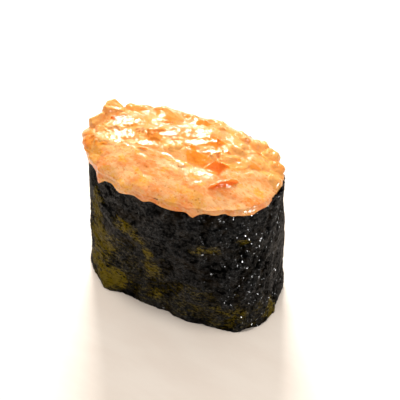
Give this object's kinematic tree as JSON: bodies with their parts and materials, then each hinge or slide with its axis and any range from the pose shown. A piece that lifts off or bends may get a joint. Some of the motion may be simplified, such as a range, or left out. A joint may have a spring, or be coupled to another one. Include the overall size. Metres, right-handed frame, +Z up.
{
  "type": "mussel gunkan sushi",
  "caption": "Oval block of pressed rice wrapped in a standing strip of nori, topped with a creamy mound of chopped mussel that rises over the rim.",
  "frame": {"origin": "middle of the footprint, on the table", "axes": "+X along the long axis of the block, +Y along its width with the nori's lap on that side, +Z up"},
  "size_m": [0.0486, 0.0309, 0.0411],
  "materials": {
    "rice": "moist, satin, short grains pressed together",
    "nori": "crinkled dry seaweed, satin with small bright glints, olive where thin",
    "topping": "wet and glossy, creamy orange with deeper orange pieces"
  },
  "bodies": {
    "root": {"rice": "rice", "nori": "nori", "topping": "topping"}
  },
  "joints": []
}
